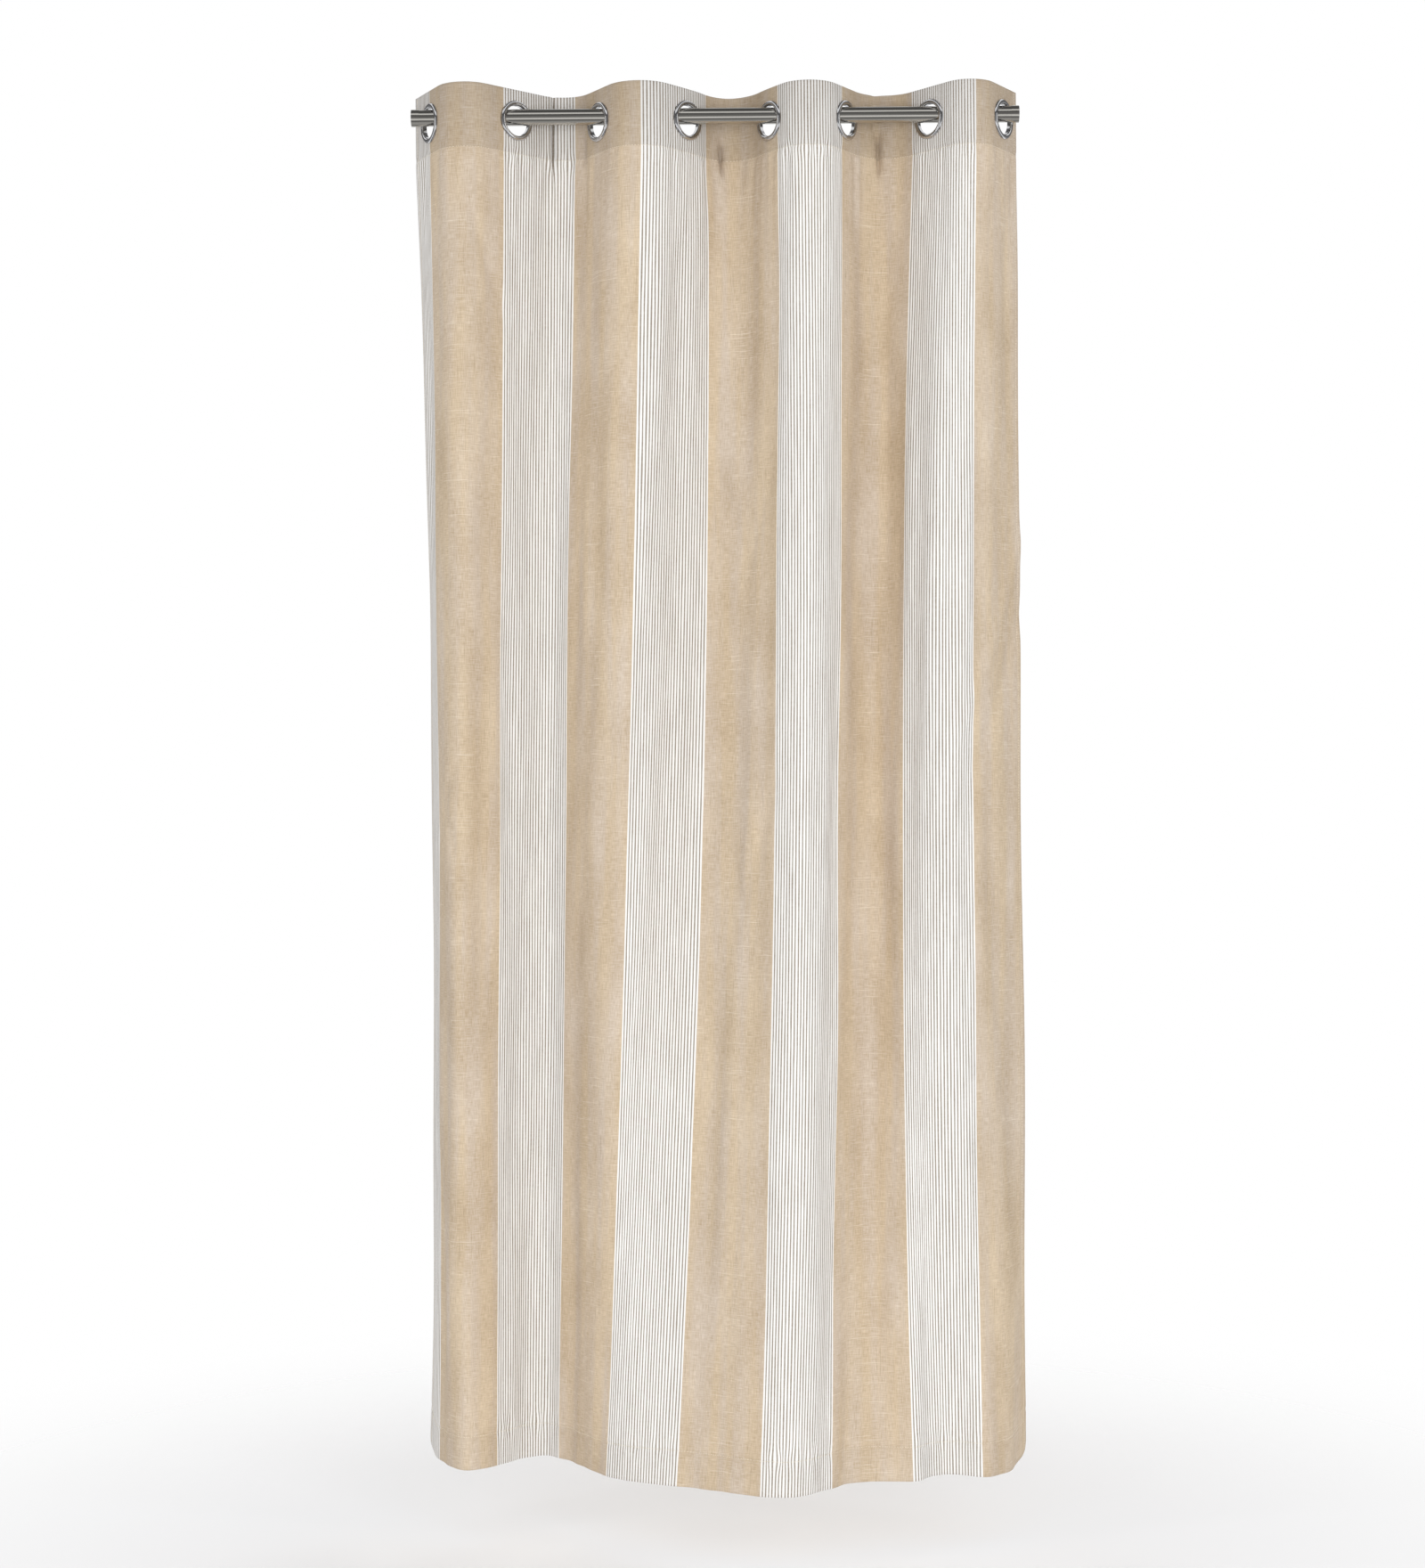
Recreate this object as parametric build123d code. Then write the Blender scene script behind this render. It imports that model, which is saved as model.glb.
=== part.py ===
from build123d import *
import os
from math import cos, hypot, radians, sin, tan

# Eyelet-top curtain panel hanging in folds on a round steel rod.
# Millimetres and degrees. X runs along the rod from its left end, Y away from the
# viewer, Z up; the origin is on the rod's axis at its left end.

# Rod and its push-on end caps
ROD_LENGTH = 934.0
ROD_DIAMETER = 25.0
ROD_WALL = 1.2
CAP_DIAMETER = 26.0
CAP_LENGTH = 12.0
CAP_END_WALL = 1.0

# Eyelets: place along the rod, angle between cloth and rod, drop of the ring's centre
EYELETS = [
    (29.0, 62.0, 8.0),
    (161.0, 43.0, 5.0),
    (288.0, 58.0, 8.0),
    (424.0, 48.0, 6.5),
    (551.0, 56.0, 8.0),
    (668.0, 57.0, 8.0),
    (797.0, 50.0, 7.0),
    (909.0, 58.0, 8.0),
]
RING_OUTER_RADIUS = 30.5
RING_HOLE_RADIUS = 23.0
BARREL_WALL = 1.2
BARREL_HALF_LENGTH = 3.0
FLANGE_RIM = 0.6
DOME_HEIGHT = 3.4
RING_TO_CLOTH = 0.3
RING_TO_RING = 0.2

# Cloth panel
TOP_ABOVE_ROD = 42.0
PANEL_DROP = 2134.0
HEADING_DEPTH = 100.0
BOTTOM_HEM_DEPTH = 54.0
LEFT_MARGIN = 58.0
RIGHT_MARGIN = 46.0
CLOTH = 0.8
HEADING_THICKNESS = 2.2
CLOTH_HOLE_RADIUS = 25.5
FLAT_BESIDE_EYELET = 33.0
STRIP_GAP = 0.3

# Stiffening tape inside the heading
TAPE = 0.6
TAPE_DEPTH = 74.0
TAPE_POCKET = 0.7

# Plan of the bottom edge, left to right: two deep folds and the turned-back corners
HEM_PLAN = [
    (9.0, 165.0),
    (88.0, 18.0),
    (190.0, 112.0),
    (300.0, -13.0),
    (430.0, -88.0),
    (575.0, -124.0),
    (655.0, -76.0),
    (740.0, -26.0),
    (880.0, -2.0),
    (951.0, 80.0),
]

HEADING_TOP = TOP_ABOVE_ROD
HEADING_BOTTOM = TOP_ABOVE_ROD - HEADING_DEPTH
PANEL_BOTTOM = TOP_ABOVE_ROD - PANEL_DROP
HEM_TOP = PANEL_BOTTOM + BOTTOM_HEM_DEPTH

os.makedirs("parts", exist_ok=True)


def save(shape, name):
    shape.label = name
    export_step(shape, f"parts/{name}.step")


# ---------------------------------------------------------------- rod


def rod_tube():
    """Round tube along X, stopping short of the end walls of its caps."""
    length = ROD_LENGTH - 2 * CAP_END_WALL
    outer = Cylinder(ROD_DIAMETER / 2, length)
    bore = Cylinder(ROD_DIAMETER / 2 - ROD_WALL, length)
    return Pos(ROD_LENGTH / 2, 0, 0) * Rot(0, 90, 0) * (outer - bore)


def end_cap():
    """Pressed cup, its closed end at X = 0 and its open end towards +X."""
    cup = Cylinder(CAP_DIAMETER / 2, CAP_LENGTH, align=(Align.CENTER, Align.CENTER, Align.MIN))
    hollow = Cylinder(ROD_DIAMETER / 2, CAP_LENGTH, align=(Align.CENTER, Align.CENTER, Align.MIN))
    return Rot(0, 90, 0) * (cup - Pos(0, 0, CAP_END_WALL) * hollow)


# ---------------------------------------------------------------- eyelet rings


def side_of(index):
    """-1 where the cloth comes forward from left to right, +1 where it goes back."""
    return -1 if index % 2 == 0 else 1


def eyelet_plane(index):
    """Plane of the cloth at an eyelet: X along the cloth, Z towards the viewer."""
    x, angle, drop = EYELETS[index]
    side = side_of(index)
    along = (cos(radians(angle)), side * sin(radians(angle)), 0)
    forward = (side * sin(radians(angle)), -cos(radians(angle)), 0)
    return Plane(origin=(x, 0, -drop), x_dir=along, z_dir=forward)


def ring_from(outline):
    """Turn a closed outline, drawn as radius and height, about the ring's axis."""
    return revolve(make_face(Plane.XZ * outline), Axis.Z)


def front_ring():
    """Domed flange with the barrel that passes through the cloth."""
    seat = HEADING_THICKNESS / 2 + RING_TO_CLOTH
    barrel_radius = RING_HOLE_RADIUS + BARREL_WALL
    crown_radius = (RING_HOLE_RADIUS + RING_OUTER_RADIUS) / 2
    rim_top = seat + FLANGE_RIM
    outline = Polyline(
        (RING_HOLE_RADIUS, rim_top),
        (RING_HOLE_RADIUS, -BARREL_HALF_LENGTH),
        (barrel_radius, -BARREL_HALF_LENGTH),
        (barrel_radius, seat),
        (RING_OUTER_RADIUS, seat),
        (RING_OUTER_RADIUS, rim_top),
    )
    dome = ThreePointArc(
        (RING_OUTER_RADIUS, rim_top),
        (crown_radius, seat + DOME_HEIGHT),
        (RING_HOLE_RADIUS, rim_top),
    )
    return ring_from(outline + dome)


def back_ring():
    """Domed ring that snaps over the barrel behind the cloth."""
    seat = -(HEADING_THICKNESS / 2 + RING_TO_CLOTH)
    inner_radius = RING_HOLE_RADIUS + BARREL_WALL + RING_TO_RING
    crown_radius = (inner_radius + RING_OUTER_RADIUS) / 2
    rim_top = seat - FLANGE_RIM
    outline = Polyline(
        (inner_radius, rim_top),
        (inner_radius, seat),
        (RING_OUTER_RADIUS, seat),
        (RING_OUTER_RADIUS, rim_top),
    )
    dome = ThreePointArc(
        (RING_OUTER_RADIUS, rim_top),
        (crown_radius, seat - DOME_HEIGHT),
        (inner_radius, rim_top),
    )
    return ring_from(outline + dome)


# ---------------------------------------------------------------- plan of the folds


def fold_corners():
    """Corners of the heading's plan: its two ends, and where the flat runs would cross."""
    x, angle, _ = EYELETS[0]
    corners = [(x - LEFT_MARGIN * cos(radians(angle)), LEFT_MARGIN * sin(radians(angle)))]
    for index in range(len(EYELETS) - 1):
        x, angle, _ = EYELETS[index]
        next_x, next_angle, _ = EYELETS[index + 1]
        rise = tan(radians(angle))
        next_rise = tan(radians(next_angle))
        run = (next_x - x) * next_rise / (rise + next_rise)
        corners.append((x + run, side_of(index) * run * rise))
    x, angle, _ = EYELETS[-1]
    corners.append((x + RIGHT_MARGIN * cos(radians(angle)), RIGHT_MARGIN * sin(radians(angle))))
    return corners


def fold_radius(index, corner):
    """Largest round fold that leaves both eyelets beside it their flat cloth."""
    x, angle, _ = EYELETS[index]
    next_x, next_angle, _ = EYELETS[index + 1]
    legs = [hypot(corner[0] - x, corner[1]), hypot(next_x - corner[0], corner[1])]
    half_opening = radians(180 - angle - next_angle) / 2
    return (min(legs) - FLAT_BESIDE_EYELET) * tan(half_opening)


corners = fold_corners()
radii = [fold_radius(index, corners[index + 1]) for index in range(len(EYELETS) - 1)]
heading_line = FilletPolyline(*corners, radius=radii)
hem_line = Spline(*HEM_PLAN)
runs = [edge.length for edge in heading_line.order_edges()]


def spread(start, end, steps):
    """Even marks from start up to, but not including, end."""
    return [start + (end - start) * step / steps for step in range(steps)]


def strip_marks(index):
    """Lengths along the heading of one strip: half a fold, the flat run, half a fold."""
    flat_start = sum(runs[: 2 * index])
    flat_end = flat_start + runs[2 * index]
    first = index == 0
    last = index == len(EYELETS) - 1
    start = 0 if first else flat_start - runs[2 * index - 1] / 2 + STRIP_GAP / 2
    end = flat_end if last else flat_end + runs[2 * index + 1] / 2 - STRIP_GAP / 2
    marks = [] if first else spread(start, flat_start, 5)
    marks += spread(flat_start, flat_end, 2)
    marks += [] if last else spread(flat_end, end, 5)
    return marks + [end]


def offset_point(line, share, offset):
    """Point at a share of a plan line's length, moved towards the viewer's side of the cloth."""
    point = line.position_at(share, position_mode=PositionMode.PARAMETER)
    along = line.tangent_at(share, position_mode=PositionMode.PARAMETER)
    return Vector(point.X + offset * along.Y, point.Y - offset * along.X)


def ribbon(index, height, back, front):
    """Face across one strip's cloth at a height, between two offsets from its middle line."""
    lowered = max(0.0, (HEADING_BOTTOM - height) / (HEADING_BOTTOM - PANEL_BOTTOM))
    length = heading_line.length

    def edge_points(offset):
        points = []
        for mark in strip_marks(index):
            top = offset_point(heading_line, mark / length, offset)
            bottom = offset_point(hem_line, mark / length, offset)
            middle = top * (1 - lowered) + bottom * lowered
            points.append((middle.X, middle.Y, height))
        return points

    outline = edge_points(front) + edge_points(back)[::-1]
    return make_face(Polyline(*outline, close=True))


def layer(index, low, high, back, front):
    """Solid layer of one strip between two heights."""
    return loft([ribbon(index, low, back, front), ribbon(index, high, back, front)], ruled=True)


def eyelet_hole(index):
    drill = Cylinder(CLOTH_HOLE_RADIUS, 4 * HEADING_THICKNESS)
    return eyelet_plane(index).location * drill


# ---------------------------------------------------------------- cloth and stiffening tape


def cloth_strip(index):
    """One eyelet's share of the panel: doubled heading with its pocket, drop and bottom hem."""
    half = HEADING_THICKNESS / 2
    pocket = TAPE_POCKET / 2
    heading = layer(index, HEADING_BOTTOM, HEADING_TOP, -half, half)
    pocket_bottom = HEADING_BOTTOM + CLOTH
    pocket_top = HEADING_TOP - CLOTH
    heading -= layer(index, pocket_bottom, pocket_top, -pocket, pocket)
    heading -= eyelet_hole(index)
    drop = layer(index, PANEL_BOTTOM, HEADING_BOTTOM, half - CLOTH, half)
    hem = layer(index, PANEL_BOTTOM, HEM_TOP, half - 3 * CLOTH, half)
    return heading + drop + hem


def heading_tape(index):
    """One eyelet's share of the woven stiffener, under the fold of the heading."""
    top = HEADING_TOP - CLOTH
    return layer(index, top - TAPE_DEPTH, top, -TAPE / 2, TAPE / 2) - eyelet_hole(index)


# ---------------------------------------------------------------- build

save(rod_tube(), "rod_tube")
cap = end_cap()
save(cap, "rod_end_cap_left")
save(Pos(ROD_LENGTH, 0, 0) * Rot(0, 0, 180) * cap, "rod_end_cap_right")

front = front_ring()
back = back_ring()
for index in range(len(EYELETS)):
    number = index + 1
    place = eyelet_plane(index).location
    save(place * front, f"eyelet_front_ring_{number}")
    save(place * back, f"eyelet_back_ring_{number}")
    save(cloth_strip(index), f"curtain_strip_{number}")
    save(heading_tape(index), f"heading_tape_{number}")

print("heading line", round(heading_line.length, 1), "hem line", round(hem_line.length, 1))
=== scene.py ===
import math
import bpy
import numpy as np
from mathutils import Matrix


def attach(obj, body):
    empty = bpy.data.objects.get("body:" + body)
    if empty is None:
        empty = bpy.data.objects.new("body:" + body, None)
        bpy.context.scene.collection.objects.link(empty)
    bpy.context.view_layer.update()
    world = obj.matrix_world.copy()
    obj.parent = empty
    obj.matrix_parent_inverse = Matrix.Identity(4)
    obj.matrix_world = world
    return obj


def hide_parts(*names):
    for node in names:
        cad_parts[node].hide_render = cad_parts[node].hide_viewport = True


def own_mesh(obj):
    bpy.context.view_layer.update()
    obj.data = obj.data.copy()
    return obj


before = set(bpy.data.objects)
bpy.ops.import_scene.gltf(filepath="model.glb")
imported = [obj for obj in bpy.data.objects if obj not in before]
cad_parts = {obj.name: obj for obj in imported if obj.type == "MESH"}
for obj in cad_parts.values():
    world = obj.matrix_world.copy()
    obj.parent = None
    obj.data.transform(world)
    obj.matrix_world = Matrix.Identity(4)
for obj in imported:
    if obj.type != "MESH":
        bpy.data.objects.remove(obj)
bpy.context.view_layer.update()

# ======================================================================================
# Rod and end caps. Round steel tube, 25 mm, drawn and polished along its length, then nickel
# plated. The caps are pressed steel cups of the same finish, pushed over its two ends.


def colour(hex_code):
    """Linear colour with alpha from an sRGB hex code."""
    value = np.array([int(hex_code[k : k + 2], 16) for k in (1, 3, 5)]) / 255
    linear = np.where(value <= 0.04045, value / 12.92, ((value + 0.055) / 1.055) ** 2.4)
    return (*linear.tolist(), 1.0)


# Some node sockets share their name with others, so they go by number: those of the Mix node
# when it mixes colours, and the place on the object that a Texture Coordinate node gives.
SHARE, FROM, TO = 0, 6, 7
MIXED = 2
OBJECT_PLACE = 3


def add_node(tree, kind, inputs=None, give=0, **settings):
    """Add a shader node. Each input, by its name or number, takes a plain value or the output
    that feeds it. Returns the output numbered give, or the node itself where it has none."""
    made = tree.nodes.new("ShaderNode" + kind)
    for name, value in settings.items():
        setattr(made, name, value)
    for socket, value in (inputs or {}).items():
        if isinstance(value, bpy.types.NodeSocket):
            tree.links.new(value, made.inputs[socket])
        else:
            made.inputs[socket].default_value = value
    return made.outputs[give] if len(made.outputs) else made


def empty_material(name):
    """A material with no nodes yet, and its node tree."""
    material = bpy.data.materials.new(name)
    material.use_nodes = True
    material.node_tree.nodes.clear()
    return material, material.node_tree


def nickel_plate():
    """Nickel plate over drawn steel: bright, with faint polishing lines, drawn 0.6 mm wide and
    80 mm long, that soften each reflection round the tube and keep it sharp along it."""
    material, tree = empty_material("nickel_plated_steel")
    place = add_node(tree, "TexCoord", give=OBJECT_PLACE)
    lengthwise = add_node(tree, "Mapping", {"Vector": place, "Scale": (12.0, 1600.0, 1600.0)})
    lines = add_node(tree, "TexNoise", {"Vector": lengthwise, "Scale": 1.0, "Detail": 3.0})
    shade = add_node(
        tree, "Mix", {SHARE: lines, FROM: colour("#a3a19c"), TO: colour("#d0cdc7")}, give=MIXED,
        data_type="RGBA")
    rough = add_node(tree, "Math", {0: lines, 1: 0.12, 2: 0.05}, operation="MULTIPLY_ADD")
    bump = add_node(tree, "Bump", {"Strength": 0.1, "Distance": 0.0001, "Height": lines})
    metal = add_node(tree, "BsdfPrincipled", {
        "Base Color": shade, "Metallic": 1.0, "Roughness": rough, "Normal": bump})
    add_node(tree, "OutputMaterial", {"Surface": metal})
    return material


nickel = nickel_plate()
for node in ("rod_tube", "rod_end_cap_left", "rod_end_cap_right"):
    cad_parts[node].data.materials[0] = nickel

# ======================================================================================
# Curtain panel. One width of yarn-dyed cotton, cut 1.29 by 2.29 m. Its top is turned over
# to the back and stitched as a 100 mm heading, its foot is turned up 54 mm and its sides
# 10 mm. It hangs from eight eyelets in four deep waves that run into two at the floor.

MM = 0.001
PANEL_WIDTH = 1270.0
PANEL_DROP = 2134.0
TOP_ABOVE_ROD = 42.0
HEADING = 100.0
FOOT_HEM = 54.0
SIDE_HEM = 10.0
FOOT_SEAM = PANEL_DROP - FOOT_HEM
SEAM_IN = 2.5
FRONT_LAYER = 1.0
HEADING_LAYER_GAP = 2.0
HEM_LAYER_GAP = 1.2

# Each eyelet's place along the rod, the angle of the cloth to the rod there, and how far the
# eyelet's centre hangs below the rod's.
EYELET_X = np.array([29.0, 161.0, 288.0, 424.0, 551.0, 668.0, 797.0, 909.0])
CLOTH_ANGLE = np.radians([62.0, 43.0, 58.0, 48.0, 56.0, 57.0, 50.0, 58.0])
EYELET_DROP = np.array([8.0, 5.0, 8.0, 6.5, 8.0, 8.0, 7.0, 8.0])
EYELET_NUMBERS = range(1, EYELET_X.size + 1)
FLAT_BESIDE_EYELET = 33.0
LEFT_MARGIN = 58.0
RIGHT_MARGIN = 46.0
FIRST_EYELET_IN = 62.0
EYELET_SPACING = 165.5
CLOTH_HOLE = 29.3

# Plans of the folds seen from above, halfway down and at the foot: the panel's left edge, each
# crest and trough, and its right edge.
MIDDLE_DOWN = 1036.0
MIDDLE_PLAN = np.array([
    (14, 116), (68, 2), (198, 98), (304, -10), (438, 48), (602, -60), (702, 46), (790, -42),
    (936, 58)], float)
FOOT_PLAN = np.array([
    (-4, 176), (76, 52), (170, 140), (290, 4), (424, -68), (576, -122), (674, -38), (766, -28),
    (806, 6), (850, -10), (938, 76)], float)


FOLD_POINTS = 25
PLAN_POINTS = 900


def along_line(points):
    """Length from the first point of a plan line to each of its points."""
    return np.append(0, np.cumsum(np.hypot(*np.diff(points, axis=0).T)))


def heading_plan():
    """Plan of the heading: a straight run through every eyelet at its angle, and between two
    runs a round fold, as large as leaves both eyelets their flat cloth."""
    side = np.where(np.arange(EYELET_X.size) % 2 == 0, -1.0, 1.0)
    rise = np.tan(CLOTH_ANGLE)
    spacing = np.diff(EYELET_X)
    run = spacing * rise[1:] / (rise[1:] + rise[:-1])
    corner = np.stack([EYELET_X[:-1] + run, side[:-1] * run * rise[:-1]], 1)
    shorter_leg = np.minimum(np.hypot(run, corner[:, 1]), np.hypot(spacing - run, corner[:, 1]))
    tangent = shorter_leg - FLAT_BESIDE_EYELET
    turn = CLOTH_ANGLE[:-1] + CLOTH_ANGLE[1:]
    radius = tangent / np.tan(turn / 2)
    along = np.stack([np.cos(CLOTH_ANGLE), side * np.sin(CLOTH_ANGLE)], 1)
    inward = np.stack([np.sin(CLOTH_ANGLE), -side * np.cos(CLOTH_ANGLE)], 1)
    swing = np.linspace(0, 1, FOLD_POINTS)[:, None] * turn[:, None, None]
    arcs = (corner - tangent[:, None] * along[:-1])[:, None] + radius[:, None, None] * (
        np.sin(swing) * along[:-1, None] + (1 - np.cos(swing)) * inward[:-1, None])
    left_edge = (EYELET_X[0], 0) - LEFT_MARGIN * along[0]
    right_edge = (EYELET_X[-1], 0) + RIGHT_MARGIN * along[-1]
    return np.vstack([left_edge, arcs.reshape(-1, 2), right_edge])


def smooth_plan(knots):
    """Natural cubic spline through the knots, with the chord length as its parameter."""
    t = along_line(knots)
    step = np.diff(t)
    matrix = np.eye(t.size)
    inner = np.arange(1, t.size - 1)
    matrix[inner, inner - 1] = step[:-1]
    matrix[inner, inner] = 2 * (step[:-1] + step[1:])
    matrix[inner, inner + 1] = step[1:]
    bend = np.zeros_like(knots)
    bend[1:-1] = 6 * np.diff(np.diff(knots, axis=0) / step[:, None], axis=0)
    bend = np.linalg.solve(matrix, bend)
    q = np.linspace(0, t[-1], PLAN_POINTS)
    i = np.clip(np.searchsorted(t, q) - 1, 0, t.size - 2)
    b = ((q - t[i]) / step[i])[:, None]
    a = 1 - b
    pull = (a**3 - a) * bend[i] + (b**3 - b) * bend[i + 1]
    return a * knots[i] + b * knots[i + 1] + pull * step[i, None] ** 2 / 6


def place_on(points, share):
    """Points at shares of a plan line's length; past its ends the line runs on straight."""
    length = along_line(points)
    at = share * length[-1]
    place = np.stack([np.interp(at, length, points[:, k]) for k in (0, 1)], -1)
    first_way = (points[1] - points[0]) / length[1]
    last_way = (points[-1] - points[-2]) / (length[-1] - length[-2])
    place += np.minimum(at, 0)[..., None] * first_way
    return place + np.maximum(at - length[-1], 0)[..., None] * last_way


top_plan = heading_plan()
middle_plan = smooth_plan(MIDDLE_PLAN)
foot_plan = smooth_plan(FOOT_PLAN)
eyelet_across = FIRST_EYELET_IN + EYELET_SPACING * np.arange(EYELET_X.size)
top_length = along_line(top_plan)
eyelet_share = np.interp(EYELET_X, top_plan[:, 0], top_length) / top_length[-1]
across_knots = np.array([0, *eyelet_across, PANEL_WIDTH])
share_knots = np.array([0, *eyelet_share, 1])


def smooth_cloth(across, down):
    """The fold surface in millimetres: the heading's, middle and foot plans at the same place
    across, blended by the quadratic in height that takes on each in turn."""
    share = np.interp(across, across_knots, share_knots)
    past_edge = np.minimum(across, 0) + np.maximum(across - PANEL_WIDTH, 0)
    share = share + past_edge / top_length[-1]
    flat_share = across / PANEL_WIDTH
    low = np.clip((down - HEADING) / (PANEL_DROP - HEADING), 0, 1)[..., None]
    mid = (MIDDLE_DOWN - HEADING) / (PANEL_DROP - HEADING)
    plan = (low - mid) * (low - 1) / mid * place_on(top_plan, share)
    plan = plan + low * (low - 1) / (mid * (mid - 1)) * place_on(middle_plan, flat_share)
    plan = plan + low * (low - mid) / (1 - mid) * place_on(foot_plan, flat_share)
    return np.concatenate([plan, (TOP_ABOVE_ROD - down)[..., None]], -1)


NORMAL_STEP = 1.5


def front_of(across, down):
    """Unit normal of the fold surface towards the room, from a small step each way."""
    sideways = smooth_cloth(across + NORMAL_STEP, down) - smooth_cloth(across - NORMAL_STEP, down)
    downward = smooth_cloth(across, down + NORMAL_STEP) - smooth_cloth(across, down - NORMAL_STEP)
    normal = np.cross(downward, sideways)
    return normal / np.linalg.norm(normal, axis=-1, keepdims=True)


def ease(value, start, end):
    """0 before start, 1 after end, and a smooth rise between them."""
    t = np.clip((value - start) / (end - start), 0, 1)
    return t * t * (3 - 2 * t)


# Drape lines that the cloth's weight pulls into the waves. Each row: place across and down,
# half length, lean to the right in degrees, half width, and height, which is under 0 for a dip.
DRAPE_LINES = np.array([
    (166, 240, 105, 21, 10, -4.0), (80, 420, 190, 0, 15, -3.0), (102, 1085, 75, -26, 10, -2.8),
    (124, 1170, 70, 22, 9, -2.6), (78, 1820, 160, 3, 11, -3.4), (150, 700, 210, 4, 16, 2.4),
    (446, 1000, 270, 2, 22, -3.6), (376, 1720, 320, 1, 26, -4.2), (352, 760, 260, 0, 18, 2.2),
    (646, 650, 100, 19, 12, -2.8), (705, 664, 90, -19, 12, -2.8), (640, 1150, 110, 22, 13, -3.0),
    (714, 1165, 110, -16, 13, -3.0), (676, 1560, 260, 3, 24, 2.6), (974, 480, 350, 1, 10, -3.6),
    (930, 1330, 330, -2, 24, 2.4), (1204, 830, 180, -26, 12, 3.4), (1222, 905, 170, -26, 13, -3.0),
    (1212, 1500, 280, 5, 20, -2.4), (268, 1480, 300, -2, 20, 2.2), (540, 900, 420, 2, 26, -2.6),
    (812, 1180, 380, -1, 22, -2.4), (1084, 700, 400, 1, 24, 2.2)])

# Tucks where the stiff heading is pressed into a fold, by each back fold's middle. Each row:
# place across and down, half length, half width, and depth.
TUCKS = np.array([
    (299, 62, 62, 2.4, 14.0), (632, 94, 24, 2.8, 18.0), (964, 92, 32, 2.8, 17.0),
    (348, 86, 22, 5.0, 7.0), (641, 40, 130, 36.0, 15.0), (958, 30, 60, 7.0, 6.0)])

# Soft creases and seam ripples, each a sum of sines with a wavelength and a phase drawn at
# random. They stand SOFT_CREASE high once they have grown in, and a ripple dies out below the
# seam that causes it.
creases = np.random.default_rng(7)
CREASE_COUNT = 26
crease_across = creases.uniform(1 / 150, 1 / 46, CREASE_COUNT)
crease_down = creases.uniform(-1 / 560, 1 / 560, CREASE_COUNT)
crease_phase = creases.uniform(0, 2 * math.pi, CREASE_COUNT)
PUCKER_COUNT = 14
pucker_across = creases.uniform(1 / 52, 1 / 17, PUCKER_COUNT)
pucker_phase = creases.uniform(0, 2 * math.pi, PUCKER_COUNT)
SOFT_CREASE = 1.5
CREASES_GROWN = 240.0
HEADING_RIPPLE = 0.9
BACK_FOLD_RIPPLE = 0.7
RIPPLES_GONE = 170.0
FOOT_RIPPLE = 0.5
FOOT_RIPPLE_WIDTH = 26.0
HEADING_SEAM_DIP = 0.8
FOOT_SEAM_DIP = 0.6
SEAM_DIP_WIDTH = 4.0


def pucker(across, turn):
    """Short ripples along a seam: a sum of sines of the place across, about 1 high."""
    wave = across[..., None] * pucker_across
    return np.sin(2 * math.pi * wave + pucker_phase + turn).sum(-1) / math.sqrt(PUCKER_COUNT)


def crease_height(across, down):
    """How far the cloth stands off the fold surface: long soft creases as a sum of sines, each
    drape line and tuck as a bell-shaped ridge, and ripples that die away from the seams."""
    wave = across[..., None] * crease_across + down[..., None] * crease_down
    soft = np.sin(2 * math.pi * wave + crease_phase).sum(-1) / math.sqrt(CREASE_COUNT)
    height = SOFT_CREASE * soft * ease(down, HEADING, HEADING + CREASES_GROWN)
    for at_across, at_down, half_length, lean, half_width, high in DRAPE_LINES:
        lean = math.radians(lean)
        aside, below = across - at_across, down - at_down
        over = aside * math.cos(lean) - below * math.sin(lean)
        length = aside * math.sin(lean) + below * math.cos(lean)
        height = height + high * np.exp(-((over / half_width) ** 2) - (length / half_length) ** 4)
    for at_across, at_down, half_length, half_width, deep in TUCKS:
        reach = (abs(across - at_across) / half_width) ** 1.5 + ((down - at_down) / half_length) ** 4
        height = height - deep * np.exp(-reach)
    hollow = np.sin(math.pi * (across - eyelet_across[0]) / EYELET_SPACING)
    under_seam = ease(down, HEADING - 4, HEADING + 6)
    under_seam = under_seam * (1 - ease(down, HEADING + 10, HEADING + RIPPLES_GONE))
    ripple = HEADING_RIPPLE + BACK_FOLD_RIPPLE * ease(-hollow, 0, 0.8)
    height = height + ripple * pucker(across, 0) * under_seam
    at_seam = np.exp(-(((down - HEADING + SEAM_IN) / SEAM_DIP_WIDTH) ** 2))
    height = height - HEADING_SEAM_DIP * at_seam
    near_foot = np.exp(-(((down - FOOT_SEAM) / FOOT_RIPPLE_WIDTH) ** 2))
    height = height + FOOT_RIPPLE * pucker(across, 1.3) * near_foot
    return height - FOOT_SEAM_DIP * np.exp(-(((down - FOOT_SEAM - SEAM_IN) / SEAM_DIP_WIDTH) ** 2))


# How far ripples draw the cloth sideways by a seam, how wide a band by each edge stays put, and
# the width and height of the lower corners' curl, which starts CURL_REACH above the foot.
SEAM_SHIFT = 1.3
STILL_EDGE = 14.0
LEFT_CORNER = 74.0
RIGHT_CORNER = 78.0
LEFT_CURL = 22.0
RIGHT_CURL = 34.0
CURL_REACH = 420.0


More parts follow.
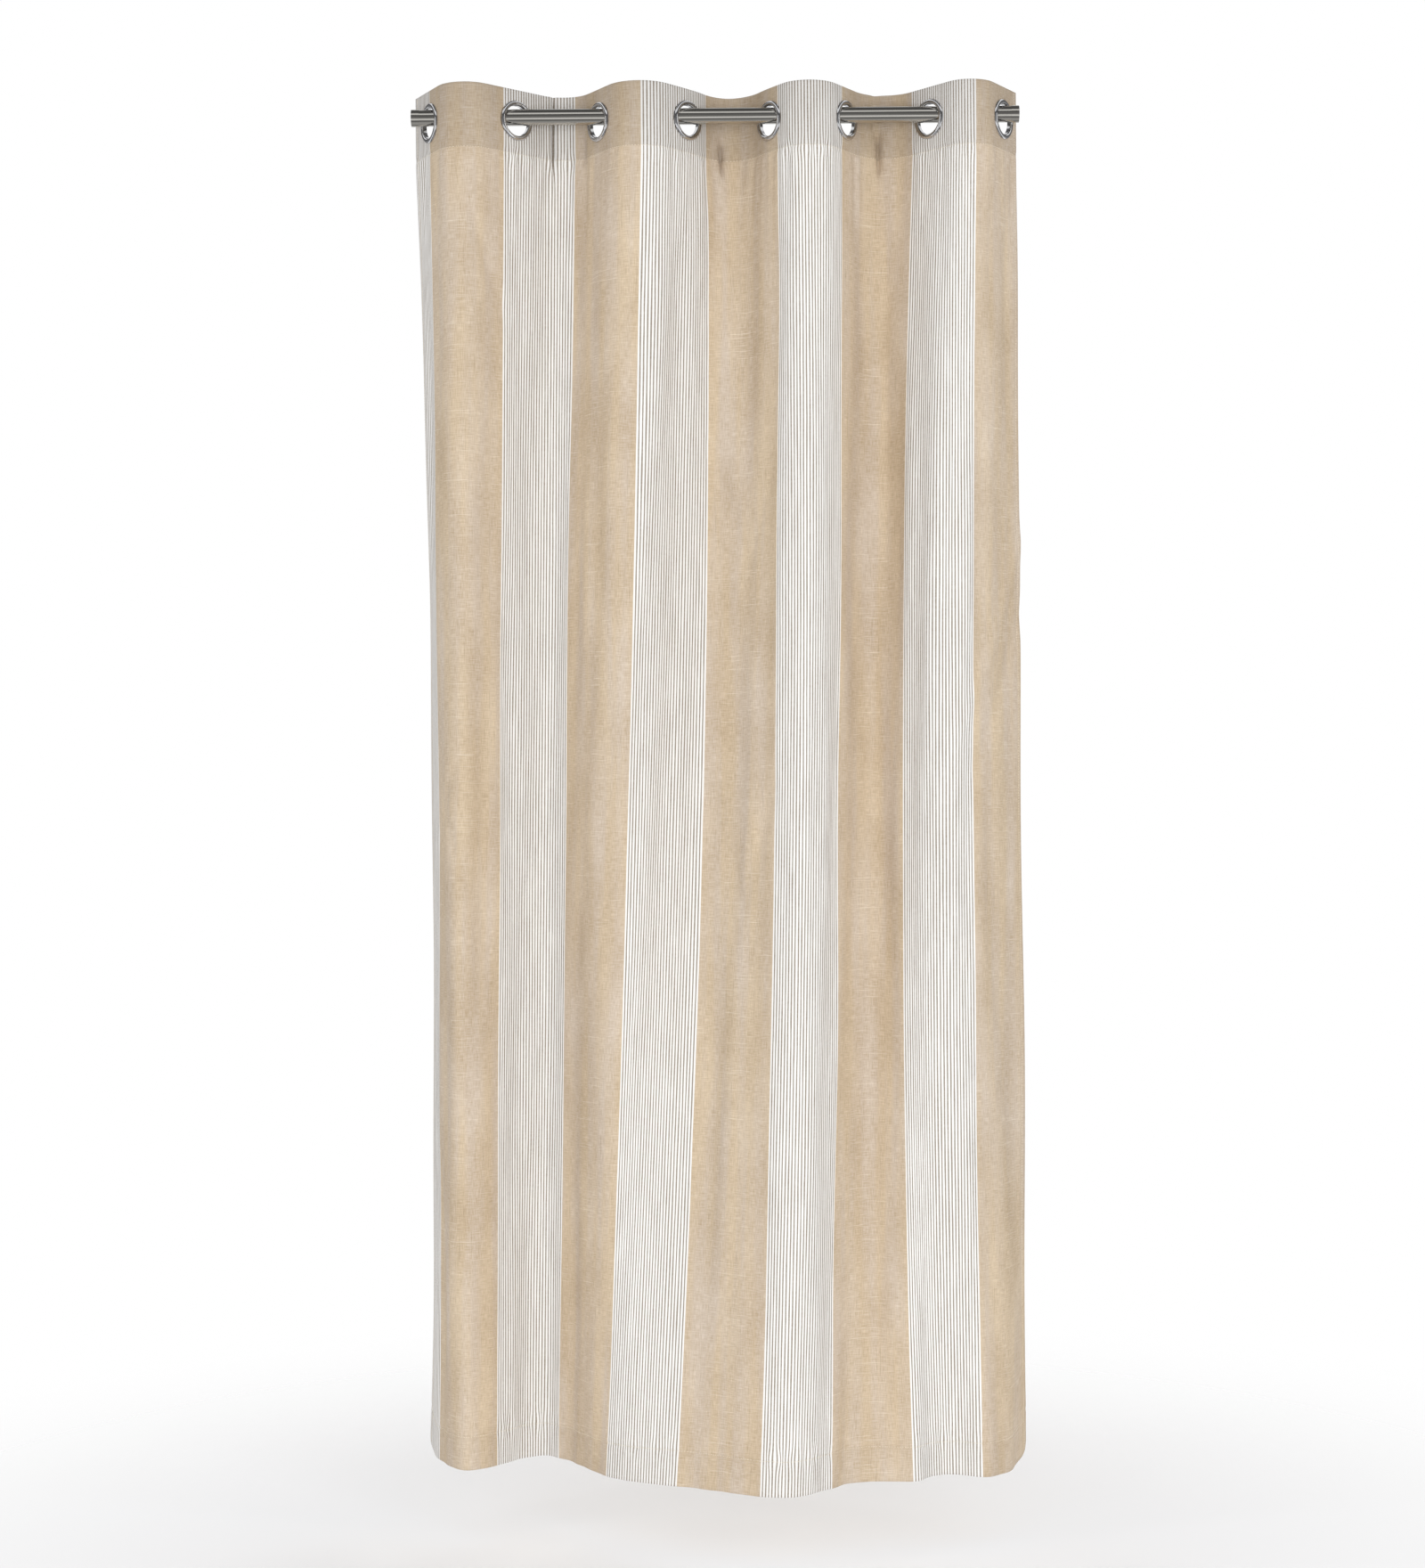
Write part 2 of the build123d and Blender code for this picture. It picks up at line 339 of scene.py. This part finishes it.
def cloth_point(across, down, behind):
    """Point of the cloth in metres: the fold surface, drawn sideways a little by the seams and
    up at its lower corners, plus the creases, and set back by its layer."""
    near_seam = np.exp(-(((down - HEADING - 4) / 13) ** 2)) + np.exp(-(((down - FOOT_SEAM) / 15) ** 2))
    inside = ease(across, 0, STILL_EDGE) * (1 - ease(across, PANEL_WIDTH - STILL_EDGE, PANEL_WIDTH))
    drawn = across + SEAM_SHIFT * pucker(across, 2.1) * near_seam * inside
    to_left = np.clip(1 - across / LEFT_CORNER, 0, 1)
    to_right = np.clip((across - PANEL_WIDTH + RIGHT_CORNER) / RIGHT_CORNER, 0, 1)
    curl = LEFT_CURL * (1 - np.sqrt(1 - to_left**2)) + RIGHT_CURL * (1 - np.sqrt(1 - to_right**2))
    raised = FRONT_LAYER - behind + crease_height(across, down)
    point = smooth_cloth(drawn, down) + raised[..., None] * front_of(drawn, down)
    point[..., 2] += curl * ease(down, PANEL_DROP - CURL_REACH, PANEL_DROP)
    return point * MM


def grid_faces(rows, columns):
    """Corner numbers of every square in a grid of points, row after row."""
    corner = (np.arange(rows - 1)[:, None] * columns + np.arange(columns - 1)).ravel()
    return np.stack([corner, corner + columns, corner + columns + 1, corner + 1], 1)


def mesh_piece(name, points, faces, material, cut_map=None):
    """Object at the origin from points in metres and face corners; points that no face uses are
    left out. The cut map is each point's place on the flat cloth, kept as its UV map."""
    used, corners = np.unique(faces.ravel(), return_inverse=True)
    mesh = bpy.data.meshes.new(name)
    mesh.from_pydata(points.reshape(-1, 3)[used].tolist(), [], corners.reshape(faces.shape).tolist())
    mesh.polygons.foreach_set("use_smooth", np.ones(len(mesh.polygons), bool))
    if cut_map is not None:
        layer = mesh.uv_layers.new(name="cut")
        layer.data.foreach_set("uv", cut_map.reshape(-1, 2)[faces.ravel()].ravel())
    mesh.materials.append(material)
    mesh.update()
    piece = bpy.data.objects.new(name, mesh)
    bpy.context.scene.collection.objects.link(piece)
    return piece


# Bands of the weave, from the left edge: white up to FIRST_TAN, then tan and white in turn.
FIRST_TAN = 62.0
TAN_BAND = 142.0
WHITE_BAND = 129.5
TICK_PITCH = WHITE_BAND / 26.5
TICK_CENTRE = 0.75 * TICK_PITCH
# The yarns are 0.4 mm and too fine to see from across a room: they are drawn as 1.1 mm streaks.
YARN = 1.1
SLUB = 14.0


def striped_cotton():
    """Plain weave of slubby cotton. Tan bands have a tan warp and a paler weft, which mix to a
    heathered face. White bands carry 26 fine taupe stripes of warp, broken by the white weft."""
    material, tree = empty_material("yarn_dyed_cotton")
    place = add_node(tree, "UVMap", uv_map="cut")
    across = add_node(tree, "SeparateXYZ", {0: place})
    across = add_node(tree, "Math", {0: across, 1: 1000.0}, operation="MULTIPLY")
    down = add_node(tree, "SeparateXYZ", {0: place}, give=1)
    down = add_node(tree, "Math", {0: down, 1: 1000.0}, operation="MULTIPLY")

    grain = {}
    sizes = {"warp": (YARN, SLUB), "weft": (SLUB, YARN), "dye": (60, 150), "thick_warp": (1.9, 80),
             "thick_weft": (90, 1.7), "fade": (24, 420)}
    for number, (name, (wide, long)) in enumerate(sizes.items()):
        spot = add_node(tree, "Mapping", {
            "Vector": place, "Location": (7.0 * number, 3.0 * number, 0.0),
            "Scale": (1000 / wide, 1000 / long, 1.0)})
        grain[name] = add_node(
            tree, "TexNoise", {"Vector": spot, "Scale": 1.0, "Detail": 2.5}, noise_dimensions="2D")

    uneven = add_node(tree, "Math", {0: grain["fade"], 1: 1.4, 2: across}, operation="MULTIPLY_ADD")
    band = add_node(tree, "Math", {0: uneven, 1: FIRST_TAN + 0.7}, operation="SUBTRACT")
    band = add_node(tree, "Math", {0: band, 1: TAN_BAND + WHITE_BAND}, operation="FLOORED_MODULO")
    in_white = add_node(tree, "Math", {0: band, 1: TAN_BAND}, operation="GREATER_THAN")
    tick = add_node(tree, "Math", {0: band, 1: TAN_BAND}, operation="SUBTRACT")
    tick = add_node(tree, "Math", {0: tick, 1: TICK_PITCH}, operation="FLOORED_MODULO")
    tick_half = add_node(tree, "Math", {0: grain["thick_warp"], 1: 1.2, 2: 0.42}, operation="MULTIPLY_ADD")
    tick = add_node(tree, "Math", {0: tick, 1: TICK_CENTRE, 2: tick_half}, operation="COMPARE")

    # Warp and weft specks, and cloudy patches where the dye took more or less.
    heather = add_node(tree, "Math", {0: grain["warp"], 1: grain["weft"]}, operation="ADD")
    heather = add_node(tree, "Math", {0: heather, 1: 0.9, 2: -0.75}, operation="MULTIPLY_ADD")
    heather = add_node(tree, "Math", {0: grain["dye"], 1: 0.7, 2: heather}, operation="MULTIPLY_ADD")
    warmth = add_node(tree, "MapRange", {"Value": grain["fade"], "From Min": 0.36, "From Max": 0.64})
    pale = add_node(
        tree, "Mix", {SHARE: warmth, FROM: colour("#d8cbbd"), TO: colour("#dccab0")}, give=MIXED,
        data_type="RGBA")
    tan = add_node(
        tree, "Mix", {SHARE: heather, FROM: colour("#b19c81"), TO: pale}, give=MIXED, data_type="RGBA")
    for name, limit, strength, shade in (
            ("thick_warp", 0.70, 0.25, "#8b765d"), ("thick_weft", 0.70, 0.3, "#f2eadd")):
        yarn = add_node(tree, "Math", {0: grain[name], 1: limit}, operation="GREATER_THAN")
        yarn = add_node(tree, "Math", {0: yarn, 1: strength}, operation="MULTIPLY")
        tan = add_node(
            tree, "Mix", {SHARE: yarn, FROM: tan, TO: colour(shade)}, give=MIXED, data_type="RGBA")

    crossing = add_node(
        tree, "Math", {0: grain["weft"], 1: 0.5, 2: -0.16}, operation="MULTIPLY_ADD", use_clamp=True)
    stripe = add_node(
        tree, "Mix", {SHARE: crossing, FROM: colour("#908578"), TO: colour("#f3f2f0")}, give=MIXED,
        data_type="RGBA")
    ground = add_node(tree, "Math", {0: grain["warp"], 1: 0.14}, operation="MULTIPLY")
    ground = add_node(
        tree, "Mix", {SHARE: ground, FROM: colour("#f4f3f1"), TO: colour("#a59c93")}, give=MIXED,
        data_type="RGBA")
    ticking = add_node(tree, "Mix", {SHARE: tick, FROM: ground, TO: stripe}, give=MIXED, data_type="RGBA")
    cloth = add_node(tree, "Mix", {SHARE: in_white, FROM: tan, TO: ticking}, give=MIXED, data_type="RGBA")

    # Painted shade: two layers let less light through from behind, so the heading and the foot hem
    # are darkened in their colour, the tan bands more than the white ones, the heading most at its top
    # fold.
    heading_end = HEADING - 2
    heading_shade = add_node(tree, "MapRange", {
        "Value": down, "From Min": 0.0, "From Max": heading_end, "To Min": 0.3, "To Max": 0.18})
    above_seam = add_node(tree, "Math", {0: down, 1: heading_end}, operation="LESS_THAN")
    heading_shade = add_node(tree, "Math", {0: heading_shade, 1: above_seam}, operation="MULTIPLY")
    in_foot = add_node(tree, "Math", {0: down, 1: FOOT_SEAM}, operation="GREATER_THAN")
    painted_shade = add_node(tree, "Math", {0: in_foot, 1: 0.05, 2: heading_shade}, operation="MULTIPLY_ADD")
    shade_by_band = add_node(tree, "MapRange", {"Value": in_white, "To Min": 1.0, "To Max": 0.8})
    painted_shade = add_node(tree, "Math", {0: painted_shade, 1: shade_by_band}, operation="MULTIPLY")
    # The painted shade: a dark brown mixed into the cloth colour at the heading and the foot hem.
    cloth = add_node(
        tree, "Mix", {SHARE: painted_shade, FROM: cloth, TO: colour("#4a4036")}, give=MIXED, data_type="RGBA")

    threads = add_node(tree, "Math", {0: grain["warp"], 1: grain["weft"]}, operation="ADD")
    threads = add_node(tree, "Math", {0: tick, 1: -0.2, 2: threads}, operation="MULTIPLY_ADD")
    bump = add_node(tree, "Bump", {"Strength": 0.3, "Distance": 0.0005, "Height": threads})
    fabric = add_node(tree, "BsdfPrincipled", {
        "Base Color": cloth, "Roughness": 0.9, "Specular IOR Level": 0.2, "Sheen Weight": 0.04,
        "Sheen Roughness": 0.6, "Normal": bump})
    add_node(tree, "OutputMaterial", {"Surface": fabric})
    return material


# The grid runs over the whole cut cloth. Across: left side hem behind, face, right side hem
# behind. Down: the heading's back layer, face from top fold to foot fold, foot hem behind.
LEFT_CELLS = 14
BAY_CELLS = 40
RIGHT_CELLS = 12
HEADING_CELLS = 24
HOLE_CELLS = 5
BLEND_CELLS = 11
SIDE_CELLS = 2
TUCK_REACH = 22.0

side_turn = np.linspace(0, SIDE_HEM, SIDE_CELLS + 1)
face_columns = np.concatenate([
    np.linspace(0, eyelet_across[0], LEFT_CELLS, endpoint=False),
    np.linspace(
        eyelet_across[0], eyelet_across[-1], (EYELET_X.size - 1) * BAY_CELLS, endpoint=False),
    np.linspace(eyelet_across[-1], PANEL_WIDTH, RIGHT_CELLS + 1)])
for tuck_across in TUCKS[:3, 0]:
    # Columns crowd together at a tuck, whose sides are steep.
    aside = face_columns - tuck_across
    crowded = tuck_across + np.sign(aside) * TUCK_REACH * (abs(aside) / TUCK_REACH) ** 1.6
    face_columns = np.where(abs(aside) < TUCK_REACH, crowded, face_columns)
column_across = np.concatenate([
    side_turn[::-1], [-0.5], face_columns, [PANEL_WIDTH + 0.5], PANEL_WIDTH - side_turn])
column_cut = np.concatenate([
    -1 - side_turn[::-1], [-0.5], face_columns, [PANEL_WIDTH + 0.5], PANEL_WIDTH + 1 + side_turn])
column_behind = np.concatenate([
    np.full(SIDE_CELLS + 1, 1.0), [0.5], np.zeros(face_columns.size), [0.5],
    np.full(SIDE_CELLS + 1, 1.0)])
# Rows crowd together just under the heading's seam and on both sides of the foot's.
BODY_CELLS = 223
heading_rows = np.linspace(0, HEADING, HEADING_CELLS + 1)
body_rows = np.concatenate([
    HEADING + np.array([3, 6.5, 11, 17]), np.linspace(HEADING + 24, FOOT_SEAM - 9, BODY_CELLS + 1),
    FOOT_SEAM - np.array([5, 2, 0])])
foot_rows = FOOT_SEAM + np.array([2.5, 5, 9, 16, 24, 32, 40, 47, FOOT_HEM])
face_rows = np.concatenate([heading_rows, body_rows, foot_rows])
row_down = np.concatenate([heading_rows[::-1], [-0.6], face_rows, [PANEL_DROP + 0.5], foot_rows[::-1]])
row_cut = np.concatenate([
    -heading_rows[::-1], [0], face_rows, [PANEL_DROP + 0.5], 2 * PANEL_DROP + 1 - foot_rows[::-1]])
row_behind = np.concatenate([
    np.full(heading_rows.size, HEADING_LAYER_GAP), [HEADING_LAYER_GAP / 2], np.zeros(face_rows.size),
    [HEM_LAYER_GAP / 2], np.full(foot_rows.size, HEM_LAYER_GAP)])

column, row = np.meshgrid(np.arange(column_across.size), np.arange(row_down.size))
across, down = column_across[column], row_down[row]
inside_hole = np.zeros(across.shape, bool)
for number, centre_across in enumerate(eyelet_across):
    # Squares round an eyelet are eased into rings, and the middle ones are cut away.
    centre_column = SIDE_CELLS + 2 + LEFT_CELLS + number * BAY_CELLS
    centre_down = TOP_ABOVE_ROD + EYELET_DROP[number]
    for centre_row in (HEADING_CELLS // 2, HEADING_CELLS + 2 + HEADING_CELLS // 2):
        ring = np.maximum(abs(column - centre_column), abs(row - centre_row))
        share = np.clip((ring - HOLE_CELLS) / (BLEND_CELLS - HOLE_CELLS), 0, 1)
        aside, below = across - centre_across, down - HEADING / 2
        distance = np.maximum(np.hypot(aside, below), 1e-6)
        on_ring_across = centre_across + CLOTH_HOLE * aside / distance
        on_ring_down = centre_down + CLOTH_HOLE * below / distance
        near = ring <= BLEND_CELLS
        across = np.where(near, (1 - share) * on_ring_across + share * across, across)
        down = np.where(near, (1 - share) * on_ring_down + share * down, down)
        inside_hole |= ring < HOLE_CELLS
behind = column_behind[column] + row_behind[row]
moved_down = np.where(row_cut[row] < 0, row_down[row] - down, down - row_down[row])
cut_map = np.stack([column_cut[column] + across - column_across[column], row_cut[row] + moved_down], -1)
faces = grid_faces(*across.shape)
faces = faces[~inside_hole.ravel()[faces].any(1)]
curtain = mesh_piece(
    "curtain_cloth", cloth_point(across, down, behind), faces, striped_cotton(), cut_map * MM)


def hang(piece):
    """The piece hangs from the root body, with a mesh of its own."""
    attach(piece, "root")
    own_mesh(piece)


hang(curtain)
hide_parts(*[f"curtain_strip_{number}" for number in EYELET_NUMBERS])

# ======================================================================================
# Stiffening tape. A 74 mm band of white nonwoven buckram between the two layers of the
# heading. The eyelets are punched through it together with the cloth.

TAPE_DEPTH = 74.0
TAPE_TOP = 1.0
FIBRE = 1.2


def pressed_fibre():
    """Nonwoven sheet of short white fibres, pressed flat: matt, with a faint mottle."""
    material, tree = empty_material("buckram_tape")
    place = add_node(tree, "UVMap", uv_map="cut")
    fibres = add_node(tree, "TexNoise", {"Vector": place, "Scale": 1000 / FIBRE, "Detail": 3.0})
    shade = add_node(
        tree, "Mix", {SHARE: fibres, FROM: colour("#d8d6ce"), TO: colour("#f5f4f1")}, give=MIXED,
        data_type="RGBA")
    bump = add_node(tree, "Bump", {"Strength": 0.3, "Distance": 0.0003, "Height": fibres})
    sheet = add_node(tree, "BsdfPrincipled", {"Base Color": shade, "Roughness": 0.85, "Normal": bump})
    add_node(tree, "OutputMaterial", {"Surface": sheet})
    return material


tape_across, tape_down = np.meshgrid(face_columns, TAPE_TOP + np.linspace(0, TAPE_DEPTH, 19))
tape_behind = np.full(tape_across.shape, HEADING_LAYER_GAP / 2)
to_eyelet = np.hypot(
    tape_across[..., None] - eyelet_across, tape_down[..., None] - TOP_ABOVE_ROD - EYELET_DROP).min(-1)
faces = grid_faces(*tape_across.shape)
faces = faces[(to_eyelet.ravel()[faces] > CLOTH_HOLE - 3).all(1)]
tape = mesh_piece(
    "heading_tape", cloth_point(tape_across, tape_down, tape_behind), faces, pressed_fibre(),
    np.stack([tape_across, tape_down], -1) * MM)
hang(tape)
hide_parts(*[f"heading_tape_{number}" for number in EYELET_NUMBERS])

# ======================================================================================
# Sewing thread. Lockstitch in cream spun polyester, 3.2 mm to the stitch: one row along the
# foot of the heading, one along the top of the foot hem, and one down each side hem. The
# same stitches show on the back.

STITCH = 3.2
STITCH_GAP = 0.9
THREAD_RADIUS = 0.36
THREAD_TAPER = np.array([0.05, 0.9, 1.0, 0.9, 0.05])
THREAD_SIDES = 6


def spun_polyester():
    """Twisted cream thread, smoother than the cloth, so it catches a little light."""
    material, tree = empty_material("spun_polyester_thread")
    place = add_node(tree, "TexCoord", give=OBJECT_PLACE)
    twist = add_node(tree, "TexNoise", {"Vector": place, "Scale": 900.0, "Detail": 1.0})
    shade = add_node(
        tree, "Mix", {SHARE: twist, FROM: colour("#cfc0a4"), TO: colour("#f8f0e0")}, give=MIXED,
        data_type="RGBA")
    fibre = add_node(tree, "BsdfPrincipled", {"Base Color": shade, "Roughness": 0.55})
    add_node(tree, "OutputMaterial", {"Surface": fibre})
    return material


def stitch_row(across, down, way, gap):
    """Points and faces of a row of stitches on the face and, a gap behind it, on the back. Each
    is a six-sided tube along the cloth whose height is a half sine, so its ends dip in."""
    t = np.linspace(0, 1, THREAD_TAPER.size)
    sides = THREAD_SIDES
    reach = (t - 0.5) * STITCH
    across = np.tile(across[:, None] + reach * way[0], (2, 1))
    down = np.tile(down[:, None] + reach * way[1], (2, 1))
    count = across.shape[0]
    outward = np.repeat([1.0, -1.0], count // 2)[:, None]
    lift = THREAD_RADIUS * (1.1 * np.sin(math.pi * t) - 0.35)
    axis = cloth_point(across, down, np.where(outward > 0, -lift, gap + lift))
    along = np.gradient(axis, axis=1)
    along /= np.linalg.norm(along, axis=-1, keepdims=True)
    up = front_of(across, down)
    beside = np.cross(along, up)
    beside /= np.linalg.norm(beside, axis=-1, keepdims=True)
    angle = np.linspace(0, 2 * math.pi, sides, endpoint=False)[:, None]
    girth = (THREAD_RADIUS * MM * THREAD_TAPER)[:, None, None]
    outline = np.cos(angle) * up[:, :, None] + np.sin(angle) * beside[:, :, None]
    tube = axis[:, :, None] + girth * outline
    step, side = np.meshgrid(np.arange(t.size - 1), np.arange(sides), indexing="ij")
    here = (step * sides + side).ravel()
    beyond = (step * sides + (side + 1) % sides).ravel()
    quads = np.stack([here, beyond, beyond + sides, here + sides], 1)
    start_cap = np.array([(0, 3, 2, 1), (0, 5, 4, 3)])
    end_cap = start_cap[:, ::-1] + (t.size - 1) * sides
    quads = np.vstack([quads, start_cap, end_cap])
    first_corner = np.arange(count)[:, None, None] * t.size * sides
    return tube.reshape(-1, 3), (quads + first_corner).reshape(-1, 4)


thread = spun_polyester()
seam_across = np.arange(SIDE_HEM - 2, PANEL_WIDTH - SIDE_HEM + 2, STITCH + STITCH_GAP)
seam_down = np.arange(4.0, PANEL_DROP - 4, STITCH + STITCH_GAP)
seams = {
    "heading_stitches": (
        seam_across, np.full(seam_across.size, HEADING - SEAM_IN), (1, 0), HEADING_LAYER_GAP),
    "foot_hem_stitches": (
        seam_across, np.full(seam_across.size, FOOT_SEAM + SEAM_IN), (1, 0), HEM_LAYER_GAP),
    "left_hem_stitches": (np.full(seam_down.size, SIDE_HEM - 1.5), seam_down, (0, 1), 1.0),
    "right_hem_stitches": (
        np.full(seam_down.size, PANEL_WIDTH - SIDE_HEM + 1.5), seam_down, (0, 1), 1.0)}
stitches = [mesh_piece(name, *stitch_row(*seam), thread) for name, seam in seams.items()]
for row_of_stitches in stitches:
    hang(row_of_stitches)

FRONT_RINGS = [f"eyelet_front_ring_{number}" for number in EYELET_NUMBERS]
BACK_RINGS = [f"eyelet_back_ring_{number}" for number in EYELET_NUMBERS]

# ======================================================================================
# Eyelets. Domed brass rings, chrome plated and polished. The front ring's barrel goes
# through the cloth and the tape, and the back ring is snapped over it.


def polished_chrome():
    """Bright chrome plate: close to a mirror, with fine wear that dulls it in places."""
    material, tree = empty_material("polished_chrome_plate")
    place = add_node(tree, "TexCoord", give=OBJECT_PLACE)
    wear = add_node(tree, "TexNoise", {"Vector": place, "Scale": 260.0, "Detail": 4.0})
    rough = add_node(tree, "Math", {0: wear, 1: 0.12, 2: 0.02}, operation="MULTIPLY_ADD")
    shade = add_node(
        tree, "Mix", {SHARE: wear, FROM: colour("#bdbdbf"), TO: colour("#dcdcde")}, give=MIXED,
        data_type="RGBA")
    metal = add_node(tree, "BsdfPrincipled", {"Base Color": shade, "Metallic": 1.0, "Roughness": rough})
    add_node(tree, "OutputMaterial", {"Surface": metal})
    return material


chrome = polished_chrome()
for node in FRONT_RINGS + BACK_RINGS:
    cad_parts[node].data.materials[0] = chrome

# ======================================================================================
# Room. A floor painted matt white that fades into the white beyond it, soft lights in front
# and behind, two narrow ones that only show as streaks in the metal, and the camera.

FLOOR_Z = -2.2
ROW_MIDDLE = (0.463, 0.0, -1.1)
FLOOR_REACH = 2.4
FADE_START = 0.5
FADE_END = 1.9


def studio_floor():
    """Flat square under the curtain: its two edges, each a straight run along X."""
    edge = np.array([-FLOOR_REACH, FLOOR_REACH])
    y, x = np.meshgrid(edge, ROW_MIDDLE[0] + edge, indexing="ij")
    points = np.stack([x, y, np.full(x.shape, FLOOR_Z)], 2)
    material, tree = empty_material("matt_white_paint")
    paint = add_node(tree, "BsdfPrincipled", {
        "Base Color": colour("#f6f6f7"), "Roughness": 0.9, "Specular IOR Level": 0.1})
    # The paint fades out towards the edge, into the white beyond.
    place = add_node(tree, "TexCoord", give=OBJECT_PLACE)
    middle = (ROW_MIDDLE[0], 0.0, FLOOR_Z)
    far = add_node(tree, "VectorMath", {0: place, 1: middle}, give=1, operation="DISTANCE")
    fade = add_node(
        tree, "MapRange", {"Value": far, "From Min": FADE_START, "From Max": FADE_END},
        interpolation_type="SMOOTHSTEP")
    clear = add_node(tree, "BsdfTransparent")
    mixed = add_node(tree, "MixShader", {0: fade, 1: paint, 2: clear})
    add_node(tree, "OutputMaterial", {"Surface": mixed})
    return mesh_piece("studio_floor", points, grid_faces(2, 2)[:, ::-1], material)


def soft_light(name, place, aim, size, watts, in_metal):
    """Area light at a place, turned to face its aim; in_metal says if the metal mirrors it."""
    data = bpy.data.lights.new(name, "AREA")
    data.shape = "RECTANGLE"
    data.size, data.size_y = size
    data.energy = watts
    light = bpy.data.objects.new(name, data)
    light.location = place
    east, north, rise = np.array(aim) - np.array(place)
    light.rotation_euler = (
        math.pi / 2 + math.atan2(rise, math.hypot(east, north)), 0, math.atan2(-east, north))
    light.visible_glossy = in_metal
    bpy.context.scene.collection.objects.link(light)


floor = studio_floor()
floor.visible_glossy = False
soft_light("front", (0.8, -5.2, -1.3), ROW_MIDDLE, (3.0, 2.2), 100, False)
soft_light("right_front", (2.7, -3.8, -0.4), ROW_MIDDLE, (1.8, 2.4), 32, False)
soft_light("left_front", (-2.3, -3.6, -1.2), ROW_MIDDLE, (2.0, 2.4), 21, False)
soft_light("left_back", (-1.9, 3.4, -0.4), ROW_MIDDLE, (2.0, 2.4), 50, False)
soft_light("right_back", (2.9, 3.4, -0.4), ROW_MIDDLE, (2.0, 2.4), 50, False)
soft_light("left_strip", (-2.2, -1.2, 0.1), (0.3, 0.0, 0.0), (0.5, 1.6), 6, True)
soft_light("right_strip", (3.1, -1.2, 0.1), (0.6, 0.0, 0.0), (0.5, 1.6), 6, True)

# Light from all round, which the metal mirrors: a dim room with one bright strip overhead and
# one below the horizon. Each stop: the height looked at, from -1 to 1, and its brightness.
ROOM_GLOW = (
    (-1, 0.5), (-0.92, 0.42), (-0.86, 0.16), (-0.68, 0.3), (-0.58, 1.0), (-0.36, 1.0), (-0.26, 0.3),
    (0.5, 0.1), (0.6, 1.0), (0.78, 1.0), (0.86, 0.12))
world = bpy.data.worlds.new("studio_air")
world.use_nodes = True
air = world.node_tree
air.nodes.clear()
way = add_node(air, "TexCoord")
up = add_node(air, "SeparateXYZ", {0: way}, give=2)
up = add_node(air, "MapRange", {"Value": up, "From Min": -1.0, "From Max": 1.0})
glow = add_node(air, "ValToRGB", {0: up})
stops = glow.node.color_ramp.elements
while len(stops) < len(ROOM_GLOW):
    stops.new(0.5)
for stop, (high, bright) in zip(stops, ROOM_GLOW):
    stop.position = (high + 1) / 2
    stop.color = (bright, bright, bright, 1)
# Only the metal sees that room. Cloth and floor get an even light from all round, and the
# space beyond them looks white.
EVEN_LIGHT = (0.62, 0.62, 0.62, 1.0)
WHITE = (1.0, 1.0, 1.0, 1.0)
rays = add_node(air, "LightPath")
from_metal = rays.node.outputs["Is Glossy Ray"]
glow = add_node(
    air, "Mix", {SHARE: from_metal, FROM: EVEN_LIGHT, TO: glow}, give=MIXED, data_type="RGBA")
glow = add_node(air, "Mix", {SHARE: rays, FROM: glow, TO: WHITE}, give=MIXED, data_type="RGBA")
glow = add_node(air, "Background", {"Color": glow, "Strength": 1.0})
add_node(air, "OutputWorld", {"Surface": glow})
bpy.context.scene.world = world

lens = bpy.data.cameras.new("camera")
lens.sensor_fit = "VERTICAL"
lens.sensor_height = 36.0
lens.lens = 62.7
camera = bpy.data.objects.new("camera", lens)
camera.location = (0.4555, -4.2, -1.027)
camera.rotation_euler = (math.pi / 2, math.radians(0.42), 0)
bpy.context.scene.collection.objects.link(camera)
bpy.context.scene.camera = camera
bpy.context.scene.view_settings.view_transform = "Standard"
